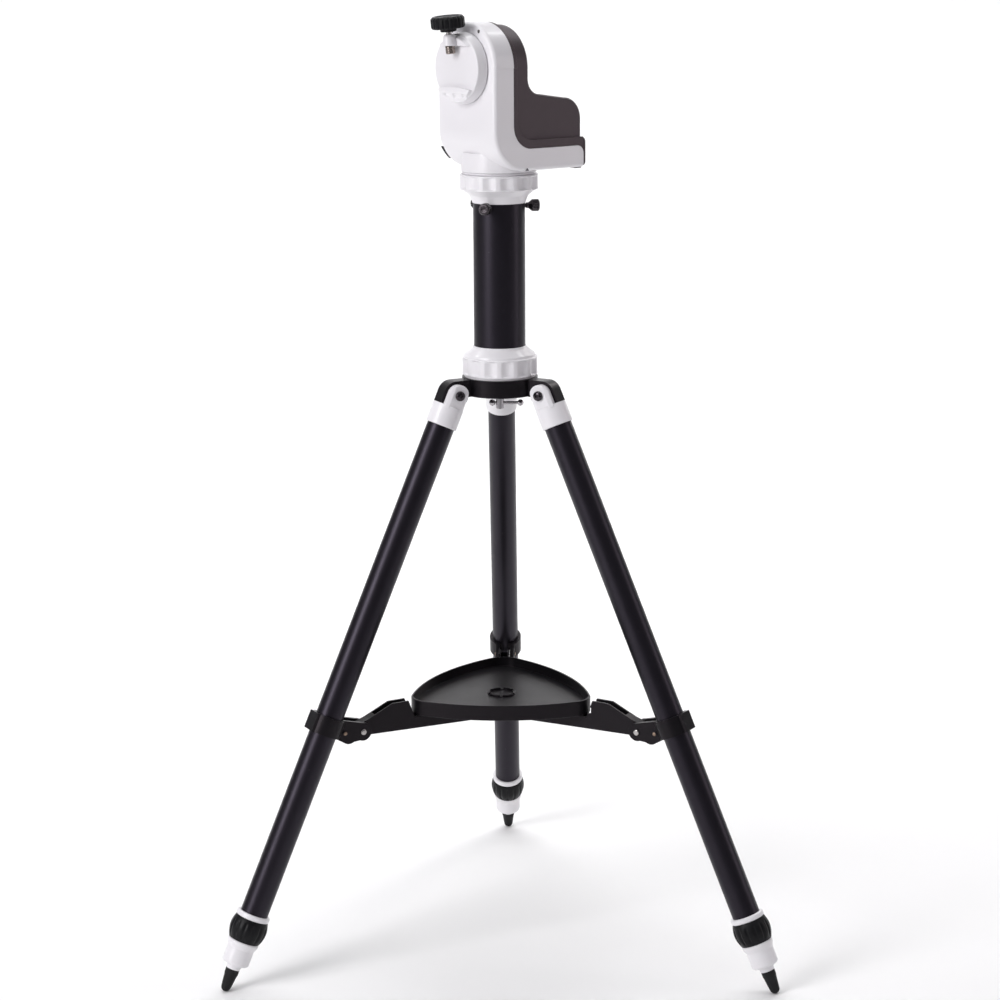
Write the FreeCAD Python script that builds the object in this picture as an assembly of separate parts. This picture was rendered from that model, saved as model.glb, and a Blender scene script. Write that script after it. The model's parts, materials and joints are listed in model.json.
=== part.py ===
import FreeCAD, Part
import os
from math import cos, pi, radians, sin, sqrt

# Alt-azimuth tracking mount on a pier and a folding three-leg tripod.
# Millimetres, +Z up. The origin is on the floor under the azimuth axis.
# The legs point to azimuths 210, 330 and 90 degrees from +X.

V = FreeCAD.Vector
X, Y, Z = V(1, 0, 0), V(0, 1, 0), V(0, 0, 1)
GAP = 0.3            # clearance between parts that move past each other
RUN = 0.06           # radial running clearance of shafts and pins

# ---- driving dimensions: tripod ----
LEG_AZIMUTHS = (210.0, 330.0, 90.0)
LEG_TILT = 24.44                    # from the vertical
PIVOT_R, PIVOT_Z = 60.7, 660.5      # leg hinge, in the leg's own vertical plane
TUBE_R = 15.875                     # 1.25 inch leg tube
TUBE_WALL = 1.25
TUBE_END = 634.9                    # along the leg, from the pivot
INNER_R = 13.85                     # telescoping lower tube
INNER_TOP, INNER_END = 230.0, 680.0
SOCKET_R = 18.0
SOCKET_TOP, SOCKET_END = 14.4, 38.4
EAR_R, EAR_IN, EAR_OUT = 12.2, 9.0, 16.6
BOLT_R, BOLT_HEAD_R = 3.5, 5.6
RING_TOP, RING_END, RING_R = 630.1, 636.1, 19.3
LOCK_END, LOCK_R = 663.0, 21.4
FOOT_TOP, FOOT_BODY_END, NECK_END = 663.3, 690.0, 697.5
FOOT_R, COLLAR_R, NECK_R = 15.6, 18.2, 8.5
TIP_R, TIP_BALL_R = 7.9, 5.6

# ---- driving dimensions: spreader and tray ----
ARM_PIN = (185.8, 283.1)            # (radius, height) in the leg's plane
CLAMP_PIN = (209.0, 285.0)
HUB_PIN = (22.0, 281.0)
ARM_HALF, ARM_HOLLOW_HALF = 6.5, 4.3
ARM_STEP_R = (117.8, 125.4)         # foot and top of the arm's rise, outside the tray's corner
CLAMP_EAR_IN, CLAMP_EAR_OUT = 6.9, 11.4
CLAMP_EAR_R, CLAMP_CHEEK_R = 10.4, 11.0
BAND_TOP, BAND_END, BAND_R = 391.0, 412.0, 19.6
TRAY_CORNER_R, TRAY_SIDE_R, TRAY_ROUND = 116.0, 86.0, 24.0
TRAY_BOTTOM, TRAY_FLOOR, TRAY_TOP = 290.9, 295.6, 308.6
TRAY_WALL, TRAY_COLLAR_TOP = 2.2, 300.2
SPREADER_PLATE_Z = (292.0, 295.2)
SPREADER_PLATE_R = 27.0

# ---- driving dimensions: hub, pier and caps ----
HUB_R, HUB_Z = 43.3, (656.8, 676.5)
LUG_HALF, LUG_R = 8.6, 15.6
PIER_R, PIER_WALL = 29.3, 2.0
PIER_Z = (711.8, 874.0)
CAP_R = 43.2
LOWER_RING_Z = (679.2, 699.9)
TOP_RING_R, TOP_RING_Z = 44.4, (889.0, 906.3)
CAP_FLUTES, FLUTE_R, FLUTE_DEPTH = 12, 7.0, 1.9
CAP_SPIGOT_R, CAP_SOCKET_R = 27.1, 23.5
CAP_SOCKET_TOP = 876.0
BOLT_38_R = 4.7625                  # 3/8 inch
TOMMY_Z, TOMMY_R, TOMMY_BALL_R = 645.0, 1.7, 3.75
TOMMY_X = (-9.0, 23.3)
SCREW_Z, SCREW_R, SCREW_KNOB_R = 870.0, 2.5, 6.75
SCREW_AZIMUTHS = (249.3, 9.3, 129.3)

# ---- driving dimensions: head, in its own frame ----
# The head is drawn with its saddle facing -X, then turned about Z.
HEAD_TURN = 42.0
BASE_TOP = 906.5                    # top of the pier cap
DRUM_R, DRUM_BOTTOM, SKIRT_TOP = 42.5, 909.5, 931.0
FRONT_X, BAND_X, END_X = -47.5, -20.0, 84.0
HALF_W = 49.0
HEAD_BOTTOM, FOOT_BAND_Z = 911.5, 936.0
ALT_Z, ARCH_R = 1024.5, 49.5
CORNER_R = 45.0
SHELL_WALL = 3.0
RIM_DEPTH = 5.5                     # dark rim behind the white band
RIM_TOP_Z = 945.5
BAND_BEND_R, RIM_BEND_R = 26.0, 22.0  # inner bend from the upright to the foot
BAND_END_R = 9.0                    # rounded rear corner of the white band
COVER_INSET = 3.0
COVER_BACK_X = 5.3
NECK_Z, BROW_Z = 995.0, 989.8       # top of the foot behind the arm, and at its far end
COVER_WALL = 2.5
COVER_SCREW_Y, COVER_SCREW_Z, COVER_SCREW_R = 22.4, 1064.1, 2.0
SHAFT_R = 6.0
AZ_SHAFT_R = 8.0
WORM_R = 5.0
ALT_WHEEL_R, ALT_WHEEL_X = 30.0, (-24.0, -18.0)
AZ_WHEEL_R, AZ_WHEEL_Z = 22.0, (942.0, 948.0)
AZ_WORM_AXIS = (-(AZ_WHEEL_R + WORM_R + GAP), sum(AZ_WHEEL_Z) / 2)              # (x, z)
ALT_WORM_AXIS = (sum(ALT_WHEEL_X) / 2, ALT_Z - ALT_WHEEL_R - WORM_R - GAP)      # (x, z)
DISC_R, DISC_FACE_R = 39.0, 36.4
DISC_X = (-48.1, -61.0)
LOWER_JAW_DROP, UPPER_JAW_RISE = 22.5, 24.5
LOWER_JAW_FRONT, LOWER_JAW_HALF, LIP_ARCH_R = -65.5, 29.0, 140.0
LIP_LOW_Z, SCALLOP_R = 998.5, 4.6     # lower edge of the lip, and the finger scallops under it
UPPER_JAW_FRONT, UPPER_JAW_HALF = -66.0, 25.5
CLAMP_TILT = 6.5                    # the clamp screw's foot leans in towards the disc
CLAMP_FOOT = V(-68.4, 0, 1040.5)    # lower end of the shoe on the screw's axis
SHOE_R, SHOE_LEN = 5.4, 8.8
KNOB_R, KNOB_BOTTOM, KNOB_TOP = 18.7, 27.3, 40.7
MOTOR_R = 9.6
SWITCH_AT, SWITCH_TILT = (1.8, 48.5, 930.6), 7.0
PANEL_X, PANEL_Z, PANEL_BLOCK_Z = (-26.5, 5.7), (922.0, 936.0), 925.4
JACK_FLOOR_Y = 43.0
CELL_R, CELL_LEN = 7.1, 50.0
DRAWER_X, DRAWER_HALF = 24.0, 33.0


# ---- small helpers ----
def box(x0, x1, y0, y1, z0, z1):
    return Part.makeBox(x1 - x0, y1 - y0, z1 - z0, V(x0, y0, z0))


def cyl(r, z0, z1, x=0.0, y=0.0):
    return Part.makeCylinder(r, z1 - z0, V(x, y, z0), Z)


def cyl_x(r, x0, x1, y=0.0, z=0.0):
    return Part.makeCylinder(r, x1 - x0, V(x0, y, z), X)


def cyl_y(r, y0, y1, x=0.0, z=0.0):
    return Part.makeCylinder(r, y1 - y0, V(x, y0, z), Y)


def tube(r_out, r_in, z0, z1):
    return cyl(r_out, z0, z1).cut(cyl(r_in, z0 - 1, z1 + 1))


def turned(points):
    """A solid of revolution about Z from (radius, height) points."""
    wire = Part.makePolygon([V(r, 0, z) for r, z in points] + [V(points[0][0], 0, points[0][1])])
    return Part.Face(wire).revolve(V(0, 0, 0), Z, 360)


def arc_through(a, b, c):
    return Part.Arc(a, b, c).toShape()


def prism_y(points, y0, y1):
    """A straight-sided outline of (x, z) points, extruded along Y."""
    corners = [V(x, y0, z) for x, z in points]
    wire = Part.makePolygon(corners + [corners[0]])
    return Part.Face(wire).extrude(V(0, y1 - y0, 0))


def joined(first, *others):
    return first.fuse(list(others)).removeSplitter()


def around(shape, azimuth):
    copy = shape.copy()
    copy.rotate(V(0, 0, 0), Z, azimuth)
    return copy


def mirrored_y(shape):
    return shape.mirror(V(0, 0, 0), Y)


def along_leg(shape, azimuth):
    """From the leg's own frame (pivot at 0, foot at -Z) to its place."""
    copy = shape.copy()
    copy.rotate(V(0, 0, 0), Y, -LEG_TILT)
    copy.translate(V(PIVOT_R, 0, PIVOT_Z))
    copy.rotate(V(0, 0, 0), Z, azimuth)
    return copy


def to_leg(point):
    """A (radius, height) point of the leg's plane, in the leg's own frame."""
    dr, dz = point[0] - PIVOT_R, point[1] - PIVOT_Z
    t = radians(LEG_TILT)
    return dr * cos(t) + dz * sin(t), -dr * sin(t) + dz * cos(t)


def on_head(shape):
    return around(shape, HEAD_TURN)


def on_clamp(shape):
    """From the clamp screw's frame (shoe's lower end at 0) to the head's."""
    copy = shape.copy()
    copy.rotate(V(0, 0, 0), Y, -CLAMP_TILT)
    copy.translate(CLAMP_FOOT)
    return copy


def save(name, *solids):
    shape = solids[0] if len(solids) == 1 else Part.makeCompound(list(solids))
    shape.exportStep("parts/" + name + ".step")
    print(name, len(shape.Solids), round(shape.Volume), shape.isValid())


# ---- tripod hub, caps and pier ----
def tripod_hub():
    hub = turned([(5.2, 661), (10.5, 661), (10.5, HUB_Z[0]), (16, HUB_Z[0]), (18, 660.5), (36, 660.5),
                  (38, HUB_Z[0]), (HUB_R - 1, HUB_Z[0]), (HUB_R, HUB_Z[0] + 1), (HUB_R, HUB_Z[1]),
                  (5.2, HUB_Z[1])])
    round_lug = cyl_y(LUG_R, -LUG_HALF, LUG_HALF, PIVOT_R, PIVOT_Z)
    bridge = box(HUB_R - 4, PIVOT_R, -LUG_HALF, LUG_HALF, HUB_Z[0], PIVOT_Z + LUG_R)
    heel = box(0, LUG_R, -LUG_HALF, LUG_HALF, GAP - SOCKET_TOP, 0)
    heel = along_leg(heel, 0)
    under = along_leg(box(-40, 0, -20, 20, -60, -11.4), 0)
    under_outer = along_leg(box(0, 40, -20, 20, -60, GAP - SOCKET_TOP), 0)
    lug = joined(round_lug, bridge, heel).cut(under).cut(under_outer)
    lug = lug.cut(box(0, HUB_R + 1.6, -20, 20, HUB_Z[1], 700))
    lug = lug.cut(cyl_y(BOLT_R, -20, 20, PIVOT_R, PIVOT_Z))
    return joined(hub, *[around(lug, a) for a in LEG_AZIMUTHS])


def leg_pivot_bolts():
    shank = cyl_y(BOLT_R - RUN, -EAR_OUT - GAP, EAR_OUT + GAP, PIVOT_R, PIVOT_Z)
    head = cyl_y(BOLT_HEAD_R, EAR_OUT + GAP, EAR_OUT + 3.0, PIVOT_R, PIVOT_Z)
    rim = max(head.Edges, key=lambda e: e.BoundBox.YMin)
    head = head.makeFillet(1.2, [rim])
    socket = cyl_y(1.6, EAR_OUT + 1.4, EAR_OUT + 4, PIVOT_R, PIVOT_Z)
    head = head.cut(socket)
    bolt = joined(shank, head, mirrored_y(head))
    return [around(bolt, a) for a in LEG_AZIMUTHS]


def fluted(r, z0, z1, lip):
    """A hand ring with shallow flutes between plain lips."""
    ring = cyl(r, z0, z1)
    edges = [e for e in ring.Edges if e.Closed]
    ring = ring.makeFillet(1.0, edges)
    for k in range(CAP_FLUTES):
        angle = radians(360.0 * k / CAP_FLUTES + 4)
        centre = r + FLUTE_R - FLUTE_DEPTH
        ring = ring.cut(cyl(FLUTE_R, z0 + lip, z1 - lip, centre * cos(angle), centre * sin(angle)))
    return ring


def lower_cap():
    """A fluted ring on a shallow foot, and the neck with its spigot into the pier."""
    foot_z, ring_top = HUB_Z[1] + 0.2, LOWER_RING_Z[1]
    ring = joined(fluted(CAP_R, *LOWER_RING_Z, 1.6), cyl(40.6, foot_z, LOWER_RING_Z[0] + 1))
    neck = turned([(0, ring_top), (41.2, ring_top), (40.4, ring_top + 2.7), (34.5, 707.0), (31.4, 710.0),
                   (30.0, PIER_Z[0]), (CAP_SPIGOT_R, PIER_Z[0]), (CAP_SPIGOT_R, 740), (0, 740)])
    neck = neck.cut(cyl(CAP_SOCKET_R, 712, 745))
    bore = cyl(BOLT_38_R + RUN, 670, 704)
    return [ring.cut(bore), neck.cut(bore)]


def top_cap():
    """The neck with its spigot into the pier, and the fluted ring that carries the head."""
    ring_z = TOP_RING_Z[0]
    neck = turned([(0, 829), (CAP_SPIGOT_R, 829), (CAP_SPIGOT_R, PIER_Z[1]), (30.0, PIER_Z[1]),
                   (31.6, 878), (33.2, 882.4), (41.0, ring_z), (0, ring_z)])
    neck = neck.cut(cyl(CAP_SOCKET_R, 820, CAP_SOCKET_TOP))
    ring = joined(fluted(TOP_RING_R, *TOP_RING_Z, 1.4), cyl(41.0, TOP_RING_Z[1] - 1, BASE_TOP))
    bore = cyl(BOLT_38_R, 870, 910)
    return [neck.cut(bore), ring.cut(bore)]


def head_bolt():
    return joined(cyl(BOLT_38_R - 0.01, CAP_SOCKET_TOP, 921), cyl(9.0, 870.5, CAP_SOCKET_TOP))


def pier_tube():
    pier = tube(PIER_R, PIER_R - PIER_WALL, PIER_Z[0], PIER_Z[1])
    for azimuth in SCREW_AZIMUTHS:
        hole = cyl_x(SCREW_R + RUN, PIER_R - 6, PIER_R + 6, 0, SCREW_Z)
        pier = pier.cut(around(hole, azimuth))
    return pier


def thumbscrew():
    """A knurled screw pointing along +X from the pier's wall."""
    tip, shoulder, grip, end = PIER_R - PIER_WALL + 0.1, PIER_R + 1.2, 37.5, 45.8
    body = turned([(0, tip), (SCREW_R, tip), (SCREW_R, shoulder), (3.2, shoulder + 0.5), (3.4, 33.5),
                   (SCREW_KNOB_R - 0.4, grip - 0.6), (SCREW_KNOB_R, grip), (SCREW_KNOB_R, end - 1.2),
                   (SCREW_KNOB_R - 1.4, end), (0, end)])
    for k in range(8):
        angle = radians(45.0 * k)
        body = body.cut(cyl(1.6, grip, end - 1.0, 7.6 * cos(angle), 7.6 * sin(angle)))
    body.rotate(V(0, 0, 0), Y, 90)
    body.translate(V(0, 0, SCREW_Z))
    return body


def centre_bolt():
    bolt = turned([(0, 638.2), (3.9, 638.2), (4.65, 639.0), (4.65, 657.2), (9.2, 657.2), (9.2, 660.4),
                   (BOLT_38_R, 660.4), (BOLT_38_R, 700), (BOLT_38_R - 1, 702), (0, 702)])
    return bolt.cut(cyl_x(TOMMY_R + RUN, -10, 10, 0, TOMMY_Z))


def tommy_bar():
    bar = cyl_x(TOMMY_R, TOMMY_X[0], TOMMY_X[1], 0, TOMMY_Z)
    balls = [Part.makeSphere(TOMMY_BALL_R, V(x, 0, TOMMY_Z)) for x in TOMMY_X]
    return joined(bar, *balls)


# ---- legs, each drawn hanging from its pivot along -Z ----
def leg_socket():
    body = cyl(SOCKET_R, -SOCKET_END, -SOCKET_TOP)
    lower_rim = min(body.Edges, key=lambda e: e.BoundBox.ZMax)
    body = body.makeFillet(1.0, [lower_rim])
    ear = joined(cyl_y(EAR_R, EAR_IN, EAR_OUT), box(-EAR_R, EAR_R, EAR_IN, EAR_OUT, -SOCKET_TOP - 3, 0))
    outer = [e for e in ear.Edges if e.BoundBox.YMin > EAR_OUT - 0.01 and e.BoundBox.ZMax > -1]
    ear = ear.makeFillet(1.0, outer).common(cyl(SOCKET_R + 0.4, -SOCKET_END, EAR_R + 5))
    socket = joined(body, ear, mirrored_y(ear))
    socket = socket.cut(cyl(TUBE_R, -SOCKET_END - 1, -SOCKET_TOP - 3.2))
    return socket.cut(cyl_y(BOLT_R, -20, 20))


def leg_tube():
    return tube(TUBE_R, TUBE_R - TUBE_WALL, -TUBE_END, -SOCKET_TOP - 3.2)


def lock_ring():
    ring = turned([(INNER_R + 0.1, -656), (16.2, -656), (16.2, -RING_END), (RING_R - 0.8, -RING_END),
                   (RING_R, -RING_END + 0.8), (RING_R, -RING_TOP - 1.2), (RING_R - 1.2, -RING_TOP),
                   (TUBE_R, -RING_TOP), (TUBE_R, -TUBE_END), (INNER_R + 0.1, -TUBE_END)])
    return ring


def twist_lock():
    top, mid, low = -RING_END - GAP, -648.5, -LOCK_END
    bulge = arc_through(V(18.6, 0, top), V(LOCK_R, 0, mid), V(17.6, 0, low))
    corners = [V(17.6, 0, low), V(INNER_R + 0.35, 0, low), V(INNER_R + 0.35, 0, -657), V(16.5, 0, -657),
               V(16.5, 0, top), V(18.6, 0, top)]
    wire = Part.Wire([bulge] + Part.makePolygon(corners).Edges)
    lock = Part.Face(wire).revolve(V(0, 0, 0), Z, 360)
    ribs = 18
    for k in range(ribs):
        angle = 2 * pi * k / ribs
        lock = lock.cut(cyl(1.5, low + 1, top - 1, 22.2 * cos(angle), 22.2 * sin(angle)))
    return lock


def leg_inner():
    return tube(INNER_R, INNER_R - 1.2, -INNER_END, -INNER_TOP)


def foot():
    outer = turned([(0, -NECK_END), (NECK_R - 0.5, -NECK_END), (NECK_R, -693.5), (FOOT_R - 2.2, -691.6),
                    (FOOT_R, -FOOT_BODY_END + 0.5), (FOOT_R, -672.4), (COLLAR_R - 0.4, -667.4),
                    (COLLAR_R, -FOOT_TOP - 1.2), (COLLAR_R - 0.8, -FOOT_TOP), (0, -FOOT_TOP)])
    outer = outer.cut(cyl(INNER_R, -INNER_END, -FOOT_TOP + 1))
    return outer.cut(cyl(5.0, -NECK_END - 1, -688))


def foot_tip():
    ball = PIVOT_Z - TIP_BALL_R
    end = ball / cos(radians(LEG_TILT))
    cone = turned([(0, -end), (TIP_BALL_R, -end), (TIP_R - 0.3, -706), (TIP_R, -704.5), (TIP_R, -NECK_END),
                   (0, -NECK_END)])
    return joined(cone, Part.makeSphere(TIP_BALL_R, V(0, 0, -end)), cyl(5.0, -NECK_END, -688))


def spreader_clamp():
    """A band round the leg tube with two ears for the arm, and its two pins."""
    band = cyl(BAND_R, -BAND_END, -BAND_TOP)
    pad = box(8, 20.4, -10, 10, -BAND_END, -BAND_TOP)
    pad = pad.common(cyl(25.5, -BAND_END, -BAND_TOP))
    qx, qz = to_leg(ARM_PIN)
    cx, cz = to_leg(CLAMP_PIN)
    ear = cyl_y(CLAMP_EAR_R, CLAMP_EAR_IN, CLAMP_EAR_OUT, qx, qz)
    cheek = cyl_y(CLAMP_CHEEK_R, CLAMP_EAR_IN, CLAMP_EAR_OUT, cx - 6, cz)
    link = prism_y([(qx, qz + CLAMP_EAR_R), (-8, -BAND_TOP), (-8, -BAND_END), (cx - 6, cz - CLAMP_CHEEK_R),
                    (qx, qz - CLAMP_EAR_R)], CLAMP_EAR_IN, CLAMP_EAR_OUT)
    side = joined(ear, cheek, link)
    solid = joined(band, pad, side, mirrored_y(side))
    solid = solid.cut(cyl(TUBE_R, -BAND_END - 30, -BAND_TOP + 30))
    throat = box(qx - 30, -15.5, -CLAMP_EAR_IN, CLAMP_EAR_IN, -BAND_END - 20, -BAND_TOP + 20)
    solid = solid.cut(throat)
    pins = []
    for x, z, r in ((qx, qz, 2.5), (cx, cz, 2.0)):
        solid = solid.cut(cyl_y(r, -20, 20, x, z))
        shank = cyl_y(r, -CLAMP_EAR_OUT - 0.2, CLAMP_EAR_OUT + 0.2, x, z)
        heads = [cyl_y(r + 0.9, CLAMP_EAR_OUT, CLAMP_EAR_OUT + 0.9, x, z)]
        heads.append(mirrored_y(heads[0]))
        pins.append(joined(shank, *heads))
    return [max(solid.Solids, key=lambda s: s.Volume)] + pins


# ---- spreader, in the vertical plane of azimuth 0 ----
def spreader_arm():
    qr, qz = ARM_PIN
    hr, hz = HUB_PIN
    arm = prism_y([(hr, hz - 5.5), (42, 273.2), (178, 277.0), (qr, qz - 9.2), (qr, qz + 9.2), (176, 295.6),
                   (146, 309.2), (ARM_STEP_R[1], 309.2),
                   (ARM_STEP_R[0], 289.2), (60, 288.6), (hr, hz + 5.5)],
                  -ARM_HALF, ARM_HALF)
    arm = joined(arm, cyl_y(9.2, -ARM_HALF, ARM_HALF, qr, qz), cyl_y(5.5, -ARM_HALF, ARM_HALF, hr, hz))
    half = ARM_HOLLOW_HALF
    trough = prism_y([(32, 279.5), (168, 281.0), (168, 320), (32, 320)], -half, half)
    arm = arm.cut(trough)
    notch = box(ARM_STEP_R[0] - 4, ARM_STEP_R[0] + 6, -ARM_HALF - 1, -half + 0.2, 294, 301)
    arm = arm.cut(notch)
    arm = arm.cut(cyl_y(2.5 + RUN, -20, 20, qr, qz))
    return arm.cut(cyl_y(2.0, -20, 20, hr, hz))


def spreader_hub():
    z0, z1 = SPREADER_PLATE_Z
    plate = cyl(SPREADER_PLATE_R, z0, z1).cut(cyl(10.4, z0 - 1, z1 + 1))
    inner = ARM_HALF + GAP + 0.1
    cheek = box(14, 31, inner, inner + 2.2, 275, z1)
    cheek = joined(cheek, mirrored_y(cheek))
    cheeks = [around(cheek, a) for a in LEG_AZIMUTHS]
    return joined(plate, *cheeks)


def tray_outline(inset):
    """A three-cornered outline with bulging sides and rounded corners."""
    corner = TRAY_CORNER_R - TRAY_ROUND
    side = TRAY_SIDE_R
    centre = (corner ** 2 - (side - TRAY_ROUND) ** 2) / (2 * (side - TRAY_ROUND) - corner)
    side_r = side + centre - inset
    round_r = TRAY_ROUND - inset
    edges = []
    for azimuth in LEG_AZIMUTHS:
        a = radians(azimuth)
        hub = V(corner * cos(a), corner * sin(a), 0)
        lean = []
        for turn in (-60, 60):
            b = radians(azimuth + turn)
            away = V(-centre * cos(b), -centre * sin(b), 0)
            direction = hub.sub(away)
            direction.normalize()
            lean.append(hub.add(direction.multiply(round_r)))
        tip = V((corner + round_r) * cos(a), (corner + round_r) * sin(a), 0)
        edges.append((lean[0], tip, lean[1]))
    wire = []
    for k, (start, tip, end) in enumerate(edges):
        nxt = edges[(k + 1) % 3]
        b = radians(LEG_AZIMUTHS[k] + 60)
        middle = V((side_r - centre) * cos(b), (side_r - centre) * sin(b), 0)
        wire.append(arc_through(start, tip, end))
        wire.append(arc_through(end, middle, nxt[0]))
    return Part.Face(Part.Wire(wire))


def lifted(face, z0, z1):
    solid = face.extrude(V(0, 0, z1 - z0))
    solid.translate(V(0, 0, z0))
    return solid


def accessory_tray():
    outer = lifted(tray_outline(0), TRAY_BOTTOM, TRAY_TOP)
    upper_rim = [e for e in outer.Edges if e.BoundBox.ZMin > TRAY_TOP - 0.01]
    lower_rim = [e for e in outer.Edges if e.BoundBox.ZMax < TRAY_BOTTOM + 0.01]
    outer = outer.makeFillet(0.8, upper_rim + lower_rim)
    well = lifted(tray_outline(TRAY_WALL), TRAY_FLOOR + 2, TRAY_TOP + 5)
    below = lifted(tray_outline(TRAY_WALL), TRAY_BOTTOM - 5, TRAY_FLOOR)
    tray = outer.cut(well).cut(below)
    collar = turned([(13.8, TRAY_FLOOR + 1), (16.6, TRAY_FLOOR + 1), (16.6, TRAY_COLLAR_TOP - 0.8),
                     (15.6, TRAY_COLLAR_TOP), (13.8, TRAY_COLLAR_TOP)])
    boss = cyl(10.1, 292.2, TRAY_FLOOR + 1)
    tabs = [around(box(100, 111, -12, 12, 290.2, TRAY_FLOOR + 0.5), a) for a in LEG_AZIMUTHS]
    tray = joined(tray, collar, boss, *tabs)
    for k in range(6):
        notch = box(12, 18, -1.6, 1.6, TRAY_COLLAR_TOP - 1.8, TRAY_COLLAR_TOP + 2)
        tray = tray.cut(around(notch, 60 * k + 30))
    return tray


# ---- head: shells ----
def arch_block(half, top_z, centre_r, x0, x1, z0):
    """A block with a half-round top, seen along X."""
    straight = box(x0, x1, -half, half, z0, top_z)
    return joined(straight, cyl_x(centre_r, x0, x1, 0, top_z).common(box(x0, x1, -60, 60, top_z, 1200)))


def side_profile(inset, back_x, foot_z, end_x, bend, corner=0.0):
    """The head's L-shaped outline seen along Y, `inset` inside its outer face."""
    front = FRONT_X + inset
    bottom = HEAD_BOTTOM + inset
    r = CORNER_R - inset
    top = 1090.0
    cx, cz = FRONT_X + CORNER_R, HEAD_BOTTOM + CORNER_R
    q = r * sqrt(0.5)
    edges = [Part.LineSegment(V(front, 0, top), V(front, 0, cz)).toShape(),
             arc_through(V(front, 0, cz), V(cx - q, 0, cz - q), V(cx, 0, bottom)),
             Part.LineSegment(V(cx, 0, bottom), V(end_x, 0, bottom)).toShape(),
             Part.LineSegment(V(end_x, 0, bottom), V(end_x, 0, foot_z - corner)).toShape(),
             Part.LineSegment(V(end_x - corner, 0, foot_z), V(back_x + bend, 0, foot_z)).toShape(),
             arc_through(V(back_x + bend, 0, foot_z),
                         V(back_x + bend * (1 - sqrt(0.5)), 0, foot_z + bend * (1 - sqrt(0.5))),
                         V(back_x, 0, foot_z + bend)),
             Part.LineSegment(V(back_x, 0, foot_z + bend), V(back_x, 0, top)).toShape(),
             Part.LineSegment(V(back_x, 0, top), V(front, 0, top)).toShape()]
    if corner > 0:
        part_way = corner * (1 - sqrt(0.5))
        edges.insert(4, arc_through(V(end_x, 0, foot_z - corner), V(end_x - part_way, 0, foot_z - part_way),
                                    V(end_x - corner, 0, foot_z)))
    face = Part.Face(Part.Wire(edges))
    solid = face.extrude(V(0, 140, 0))
    solid.translate(V(0, -70, 0))
    return solid


def head_block(inset, back_x, foot_z, end_x, bend, half_inset, corner=0.0):
    outline = side_profile(inset, back_x, foot_z, end_x, bend, corner)
    half = HALF_W - half_inset
    return outline.common(arch_block(half, ALT_Z, half + (ARCH_R - HALF_W), -60, 100, 900))


def front_shell():
    outer = head_block(0, BAND_X, FOOT_BAND_Z, END_X, BAND_BEND_R, 0, BAND_END_R)
    rounded = []
    for e in outer.Edges:
        middle = e.valueAt((e.FirstParameter + e.LastParameter) / 2)
        on_face = e.BoundBox.XMax < FRONT_X + 0.01 and (abs(middle.y) > 1 or middle.z > ALT_Z)
        on_bend = middle.z < HEAD_BOTTOM + CORNER_R - 1 and e.BoundBox.XMax < FRONT_X + CORNER_R + 0.01
        on_bend = on_bend and abs(abs(middle.y) - HALF_W) < 0.01
        if on_face or on_bend:
            rounded.append(e)
    outer = outer.makeFillet(5.0, rounded)
    shell = joined(outer, cyl(DRUM_R, DRUM_BOTTOM, SKIRT_TOP))
    shell = shell.cut(head_block(SHELL_WALL, BAND_X + 30, 1000, END_X + 10, 1.0, SHELL_WALL))
    shell = shell.cut(cyl(DRUM_R - SHELL_WALL, 900, SKIRT_TOP - 3))
    shell = shell.cut(cyl_x(13.0, -60, -30, 0, ALT_Z))
    shell = shell.cut(box(PANEL_X[0] - GAP, PANEL_X[1] + GAP, 39.7, 60, PANEL_BLOCK_Z - GAP, PANEL_Z[1] + GAP))
    for y in (-COVER_SCREW_Y, COVER_SCREW_Y):
        shell = shell.cut(cyl_x(COVER_SCREW_R, FRONT_X - 5, FRONT_X + 1.5, y, COVER_SCREW_Z))
        shell = shell.cut(cyl_x(1.2, FRONT_X, FRONT_X + 9, y, COVER_SCREW_Z))
    return max(shell.Solids, key=lambda s: s.Volume)


def rear_cover():
    """The dark back half: a rim as wide as the front shell, then an inset dome over the arm and foot."""
    rim_x, rim_z = BAND_X + GAP, FOOT_BAND_Z + GAP
    rim = head_block(0, BAND_X + RIM_DEPTH, RIM_TOP_Z, END_X, RIM_BEND_R, 0.4)
    rim = rim.cut(side_profile(-60, rim_x, rim_z, END_X + GAP, BAND_BEND_R - GAP, BAND_END_R))
    half = HALF_W - COVER_INSET
    inner_half = half - COVER_WALL
    cover = joined(rim, dome(0, half))
    hollow = dome(COVER_WALL, half - COVER_WALL)
    throat = side_profile(-60, BAND_X + RIM_DEPTH, RIM_TOP_Z, END_X + 60, RIM_BEND_R)
    throat = throat.common(arch_block(inner_half, ALT_Z, inner_half, -60, 200, 900))
    cover = cover.cut(hollow).cut(throat)
    shelf = box(DRAWER_X, END_X - 1, -38, 38, 946.5, 948.5)
    return max(joined(cover, shelf).Solids, key=lambda s: s.Volume)


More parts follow.
